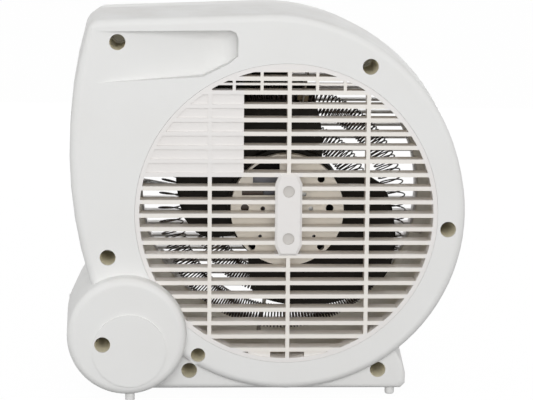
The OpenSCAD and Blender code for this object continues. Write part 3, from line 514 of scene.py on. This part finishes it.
class HEATER_OT_studio(BuildStep, bpy.types.Operator):
    """Makes the floor, the background, the lamps and the camera"""
    bl_idname = "heater.studio"
    bl_label = "Studio"

    # Each lamp's name, power as a share of the key light, and place
    lamps = (("key", 1.0, (-0.05, -1.35, 0.48)), ("back", 0.6, (0.1, 1.35, 0.16)),
             ("left", 0.25, (-1.4, 0.08, 0.5)), ("right", 0.25, (1.4, 0.08, 0.5)))
    lamp_size, lamp_aim = 0.9, Vector((0, 0, 0.12))

    # The floor's grey lights the heater. The camera sees a white glow over it, and the share that
    # the glow leaves shows the shadow
    floor_size, floor_grey = 6, (0.32, 0.32, 0.32, 1)
    floor_glow, glow_share = 1.08, 0.9

    # Width of the camera's sensor in millimetres, and the distances at which its view is cut off
    sensor, nearest, farthest = 36, 0.05, 30

    def lay_floor(self, scene):
        """A floor that the camera sees as white, with the heater's shadow on it."""
        bm = bmesh.new()
        bmesh.ops.create_grid(bm, x_segments=1, y_segments=1, size=self.floor_size)
        floor_mesh = bpy.data.meshes.new("floor")
        bm.to_mesh(floor_mesh)
        bm.free()
        floor = bpy.data.objects.new("floor", floor_mesh)
        scene.collection.objects.link(floor)
        f = Finish("floor_white", Roughness=0.9, Specular_IOR_Level=0.1)
        f.shader.inputs["Base Color"].default_value = self.floor_grey
        ways = f.node("LightPath")
        seen = (Level(f, ways.outputs["Is Camera Ray"]) + Level(f, ways.outputs["Is Glossy Ray"])
                + Level(f, ways.outputs["Is Transmission Ray"])).clamped()
        glow = f.node("Emission", None, (1, 1, 1, 1), self.floor_glow)
        mixed = f.node("MixShader", None, seen * self.glow_share, f.shader.outputs[0],
                       glow.outputs[0])
        f.tree.links.new(mixed.outputs[0], f.tree.nodes["Material Output"].inputs["Surface"])
        floor_mesh.materials.append(f.material)

    def light_room(self, scene, sky):
        """Even light from all round, behind a background that looks white."""
        world = bpy.data.worlds.new("studio")
        scene.world = world
        world.use_nodes = True
        tree = world.node_tree
        background = tree.nodes["Background"]
        ways = tree.nodes.new("ShaderNodeLightPath")
        sum_one = tree.nodes.new("ShaderNodeMath")
        sum_two = tree.nodes.new("ShaderNodeMath")
        sum_two.use_clamp = True
        strength = tree.nodes.new("ShaderNodeMapRange")
        strength.inputs["To Min"].default_value = sky
        strength.inputs["To Max"].default_value = 1.0
        tree.links.new(ways.outputs["Is Camera Ray"], sum_one.inputs[0])
        tree.links.new(ways.outputs["Is Glossy Ray"], sum_one.inputs[1])
        tree.links.new(sum_one.outputs[0], sum_two.inputs[0])
        tree.links.new(ways.outputs["Is Transmission Ray"], sum_two.inputs[1])
        tree.links.new(sum_two.outputs[0], strength.inputs["Value"])
        tree.links.new(strength.outputs[0], background.inputs["Strength"])
        background.inputs["Color"].default_value = (1, 1, 1, 1)

    def hang_lamps(self, scene, key):
        """Large soft lamps, aimed at the heater's middle."""
        for name, share, at in self.lamps:
            lamp = bpy.data.lights.new(name, "AREA")
            lamp.energy, lamp.size = key * share, self.lamp_size
            obj = bpy.data.objects.new(name, lamp)
            obj.location = at
            aim = self.lamp_aim - obj.location
            obj.rotation_euler = aim.to_track_quat("-Z", "Y").to_euler()
            scene.collection.objects.link(obj)

    def set_camera(self, scene, s):
        """The camera that sees the heater as the photo does."""
        camera = bpy.data.objects.new("camera", bpy.data.cameras.new("camera"))
        scene.collection.objects.link(camera)
        back = Vector((math.sin(s.azimuth) * math.cos(s.elevation),
                       -math.cos(s.azimuth) * math.cos(s.elevation), math.sin(s.elevation)))
        camera.rotation_mode = "QUATERNION"
        camera.location = Vector(s.aim) + back * s.distance
        camera.rotation_quaternion = ((-back).to_track_quat("-Z", "Y")
                                      @ Quaternion((0, 0, 1), s.roll))
        camera.data.sensor_width = self.sensor
        camera.data.lens = s.lens
        camera.data.clip_start, camera.data.clip_end = self.nearest, self.farthest
        scene.camera = camera

    def build(self, scene):
        s = scene.heater_studio
        scene.view_settings.view_transform = "Standard"
        self.lay_floor(scene)
        self.light_room(scene, s.sky)
        self.hang_lamps(scene, s.key)
        self.set_camera(scene, s)


class HEATER_OT_casing(BuildStep, bpy.types.Operator):
    """Dresses the two casing halves, the feet, the cord inlet and the wiring cover"""
    bl_idname = "heater.casing"
    bl_label = "Casing"

    # The screw wells: a radius that takes in their walls, and their depth
    well_reach, well_depth = 0.0052, 0.044

    def build(self, scene):
        s = scene.heater_casing
        white = moulded("casing_white", s.white, s.gloss)
        rear = dress("rear_shell", "rear_casing", "casing", white, s.edge)
        # The screw wells are marked so that the casing's material paints warm bounced light in
        # them
        screws = islands("casing_screws") + islands("small_casing_screw")
        mark_hollows(rear.data, screws, self.well_reach, self.well_depth)
        dress("front_shell", "front_casing", "casing", white, s.edge)
        finish_nodes(white, "cord_clamp", "cord_bushing", "foot_rear_left", "foot_rear_right",
                     "foot_front_left", "foot_front_right")
        # The wiring cover's white is painted light: the casing's white made lighter, where the
        # slats in front shade the cover
        cover = moulded("cover_white_painted_light", shade(s.white, 1.05), 0.5, 0.4)
        dress("wiring_cover", "wiring_tray", "casing", cover, INNER_EDGE)


class HEATER_OT_grilles(BuildStep, bpy.types.Operator):
    """Dresses the slatted inlet and outlet grilles"""
    bl_idname = "heater.grilles"
    bl_label = "Grilles"

    # The middle plate's dimples: a radius that takes in their walls, and their depth
    dimple_reach, dimple_depth = 0.0040, 0.0016

    def build(self, scene):
        s = scene.heater_grille
        # The bounce tint paints warm bounce light on the slats and on the walls behind them
        ivory = moulded("grille_ivory", s.ivory, 0.42, 0.5, hollows=(0.75, 0.74, 0.72),
                        bounce_tint=(slats_only, tuple(s.slats)))
        outlet = moulded("outlet_white", shade(s.ivory, 0.98), 0.45, 0.4)
        inlet = dress("rear_grille", "inlet_grille", "casing", ivory, s.edge)
        # The dimples are marked so that the grille's material paints shade in them
        posts = islands("motor_mount_screws")
        mark_hollows(inlet.data, posts, self.dimple_reach, self.dimple_depth)
        dress("front_grille", "outlet_grille", "casing", outlet, s.edge)
        finish_nodes(black_plastic("baffle_black", (0.020, 0.017, 0.012), 0.6), "outlet_baffle")


class HEATER_OT_fan(BuildStep, bpy.types.Operator):
    """Dresses the fan, its motor and the duct round them"""
    bl_idname = "heater.fan"
    bl_label = "Fan and motor"

    def build(self, scene):
        s = scene.heater_fan
        black = black_plastic("fan_black", s.black)
        dress("impeller", "fan_blades", "fan", black, INNER_EDGE)
        cream = moulded("motor_cream", s.cream, 0.5, 0.5)
        dress("motor_cover", "motor_cap", "casing", cream, INNER_EDGE)
        finish_nodes(sheet_metal("duct_sheet", (0.80, 0.73, 0.58), 0.65, (1.0, 12.0, 1.0), 0.05),
                     "fan_duct")
        plated = sheet_metal("zinc_plate", (0.62, 0.62, 0.60), 0.34)
        finish_nodes(plated, "rear_bracket", "front_bracket", "motor_mount_screws",
                     "motor_through_screws", "impeller_clip")
        finish_nodes(sheet_metal("ground_steel", (0.66, 0.66, 0.66), 0.24, (1.0, 30.0, 1.0)),
                     "motor_shaft")
        finish_nodes(sheet_metal("bearing_bronze", (0.50, 0.35, 0.19), 0.42), "rear_bearing",
                     "front_bearing")
        finish_nodes(laminations("core_sheets", (0.20, 0.20, 0.22)), "stator_core", "motor_rotor")
        finish_nodes(wound_tape("dark_winding", (0.10, 0.06, 0.035)), "stator_winding")


class HEATER_OT_coils(BuildStep, bpy.types.Operator):
    """Winds the heating coils and finishes their mica plates, terminals and safety devices"""
    bl_idname = "heater.coils"
    bl_label = "Heating coils"

    # The two rings' radii, the angle of the terminals, half the gap between a ring's ends, and how
    # far the rings' middle lies below the duct's
    inner_r, outer_r, arm = 0.0512, 0.0734, math.radians(80)
    gap, drop = 0.0044, 0.0055

    # Points in a curl, the curls in which an end opens to the full radius, and the length of the
    # straight tail
    steps, opening, tail = 16, 0.75, 0.0009

    # How strongly the curls gather at two and at four places of a ring
    by_two, by_four = 0.10, 0.075

    def packed(self, angle, sag):
        """Grows with the angle, and fastest where the curls lie closest."""
        return (angle - self.by_two * math.sin(2 * angle) - self.by_four * math.sin(4 * angle)
                + sag * math.cos(angle))

    def curl_angles(self, first, last, count, sag):
        """Angles that share out a ring's curls: they stretch at its sides, where the coil
        hangs between its supports, and crowd on the slants and at the bottom."""
        fine = 2000
        start, end = self.packed(first, sag), self.packed(last, sag)
        table = [first + (last - first) * i / fine for i in range(fine + 1)]
        found, i = [], 0
        for k in range(count + 1):
            goal = start + (end - start) * k / count
            while i < fine - 1 and self.packed(table[i + 1], sag) < goal:
                i += 1
            low, high = self.packed(table[i], sag), self.packed(table[i + 1], sag)
            found.append(table[i] + (table[i + 1] - table[i]) * (goal - low) / (high - low))
        return found

    def coil(self, scene, name, ring, curls, node, material):
        """Winds a wire in curls round a ring, as a mesh that stands for a node."""
        s = scene.heater_coils
        skip = self.gap / ring
        count = curls * self.steps
        centre = Vector((DUCT_AXIS.x, COIL_Y, DUCT_AXIS.z - self.drop))
        curve = bpy.data.curves.new(name, "CURVE")
        curve.dimensions = "3D"
        curve.bevel_depth, curve.bevel_resolution = s.wire, 1
        line = curve.splines.new("POLY")
        line.points.add(count + 2)
        angles = self.curl_angles(self.arm + skip, self.arm + 2 * math.pi - skip, count, s.sag)
        for k in range(-1, count + 2):
            step = min(max(k, 0), count)
            share, angle = step / count, angles[step]
            turn = 2 * math.pi * curls * share
            ends = min(1, share * curls / self.opening, (1 - share) * curls / self.opening)
            opened = s.curl * ends * ends * (3 - 2 * ends)
            reach = ring + opened * math.cos(turn)
            along = -self.tail if k < 0 else self.tail if k > count else 0
            at = Vector((reach * math.cos(angle) - along * math.sin(angle),
                         opened * math.sin(turn),
                         reach * math.sin(angle) + along * math.cos(angle)))
            line.points[k + 1].co = (*(at + centre), 1)
        shape = bpy.data.objects.new(name + "_line", curve)
        scene.collection.objects.link(shape)
        bpy.context.view_layer.update()
        mesh = bpy.data.meshes.new_from_object(shape.evaluated_get(
            bpy.context.evaluated_depsgraph_get()))
        bpy.data.objects.remove(shape)
        bm = bmesh.new()
        bm.from_mesh(mesh)
        bmesh.ops.holes_fill(bm, edges=bm.edges, sides=0)
        bmesh.ops.recalc_face_normals(bm, faces=bm.faces)
        piece(name, bm, "casing", material, (node,), smooth=60)

    def build(self, scene):
        s = scene.heater_coils
        wire = hot_wire("resistance_wire")
        self.coil(scene, "inner_coil", self.inner_r, s.inner_curls, "heating_coil_inner", wire)
        self.coil(scene, "outer_coil", self.outer_r, s.outer_curls, "heating_coil_outer", wire)
        finish_nodes(pressed_mica("mica_board"), "mica_plate_rising", "mica_plate_falling")
        finish_nodes(sheet_metal("scorched_brass", (0.13, 0.10, 0.06), 0.5), "heater_terminals")
        finish_nodes(black_plastic("cutout_black", (0.035, 0.032, 0.03), 0.5), "thermal_cutout")
        finish_nodes(sheet_metal("fuse_can", (0.6, 0.6, 0.58), 0.3), "thermal_fuse")


class HEATER_OT_controls(BuildStep, bpy.types.Operator):
    """Dresses the knobs, the pilot lamp, what stands behind them, and the screws"""
    bl_idname = "heater.controls"
    bl_label = "Controls"

    # Width of the knobs' soft edges, how far behind a knob its printed bars lie, and the width,
    # thickness and length of the first bar
    knob_edge, bar_gap, bar_size = 0.0005, 0.0005, (0.0011, 0.0002, 0.0034)

    def marks(self, name, knob, reach, angles, growth, material):
        """Printed bars round a knob, each wider than the last by the growth."""
        bm = bmesh.new()
        at = middle(knob)
        at.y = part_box(knob)[0].y - self.bar_gap
        width, thickness, length = self.bar_size
        for index, degrees in enumerate(angles):
            bar = Matrix.Diagonal((width + growth * index, thickness, length, 1))
            turn = Matrix.Rotation(math.radians(degrees), 4, "Y")
            bmesh.ops.create_cube(bm, size=1, matrix=Matrix.Translation(at) @ turn
                                  @ Matrix.Translation((0, 0, reach)) @ bar)
        piece(name, bm, "casing", material)

    def build(self, scene):
        s = scene.heater_casing
        knob = moulded("knob_white", shade(s.white, 0.97), 0.32, 0.3, 0.4)
        dress("selector_knob", "selector_dial", "selector", knob, self.knob_edge,
              segments=3)
        dress("thermostat_knob", "thermostat_dial", "thermostat", knob,
              self.knob_edge, segments=3)
        ink = moulded("scale_ink", (0.12, 0.12, 0.13), 0.6, 0.1, 0.2)
        self.marks("selector_scale", "selector_knob", reach=0.0215, angles=(0, -45, -90, -135),
                   growth=0.0004, material=ink)
        self.marks("thermostat_scale", "thermostat_knob", reach=0.0275,
                   angles=range(-135, 136, 18), growth=0.0, material=ink)
        plated = sheet_metal("spindle_plate", (0.62, 0.62, 0.60), 0.34)
        finish_nodes(plated, "selector_spindle", "selector_nut", "thermostat_spindle",
                     "thermostat_nut", "thermostat_blade", "cord_clamp_screws")
        finish_nodes(sheet_metal("dull_steel", (0.34, 0.32, 0.26), 0.5), "casing_screws",
                     "small_casing_screw")
        phenolic = black_plastic("phenolic", (0.045, 0.035, 0.03), 0.4)
        finish_nodes(phenolic, "selector_switch", "thermostat_body")
        finish_nodes(amber_lens("lamp_amber"), "pilot_lamp")
        nylon = moulded("natural_nylon", (0.74, 0.73, 0.68), 0.4, 0.2)
        finish_nodes(nylon, "pilot_lamp_holder", "terminal_block")
        finish_nodes(sheet_metal("terminal_brass", (0.62, 0.46, 0.2), 0.32), "terminal_screws")


STEPS = (HEATER_OT_studio, HEATER_OT_casing, HEATER_OT_grilles, HEATER_OT_fan, HEATER_OT_coils,
         HEATER_OT_controls)


class HEATER_PT_panel(bpy.types.Panel):
    """Lists the heater's settings and building steps"""
    bl_idname = "HEATER_PT_panel"
    bl_label = "Fan heater"
    bl_space_type = "VIEW_3D"
    bl_region_type = "UI"
    bl_category = "Fan heater"

    def draw(self, context):
        for name, group in SETTINGS.items():
            box = self.layout.box()
            for key in group.__annotations__:
                box.prop(getattr(context.scene, name), key)
        for step in STEPS:
            self.layout.operator(step.bl_idname)


def register():
    for cls in (*SETTINGS.values(), *STEPS, HEATER_PT_panel):
        bpy.utils.register_class(cls)
    for name, group in SETTINGS.items():
        setattr(bpy.types.Scene, name, PointerProperty(type=group))


def unregister():
    for name in SETTINGS:
        delattr(bpy.types.Scene, name)
    for cls in reversed((*SETTINGS.values(), *STEPS, HEATER_PT_panel)):
        bpy.utils.unregister_class(cls)


def main():
    register()
    bpy.ops.heater.studio()
    bpy.ops.heater.casing()
    bpy.ops.heater.grilles()
    bpy.ops.heater.fan()
    bpy.ops.heater.coils()
    bpy.ops.heater.controls()


if __name__ == "__main__":
    main()
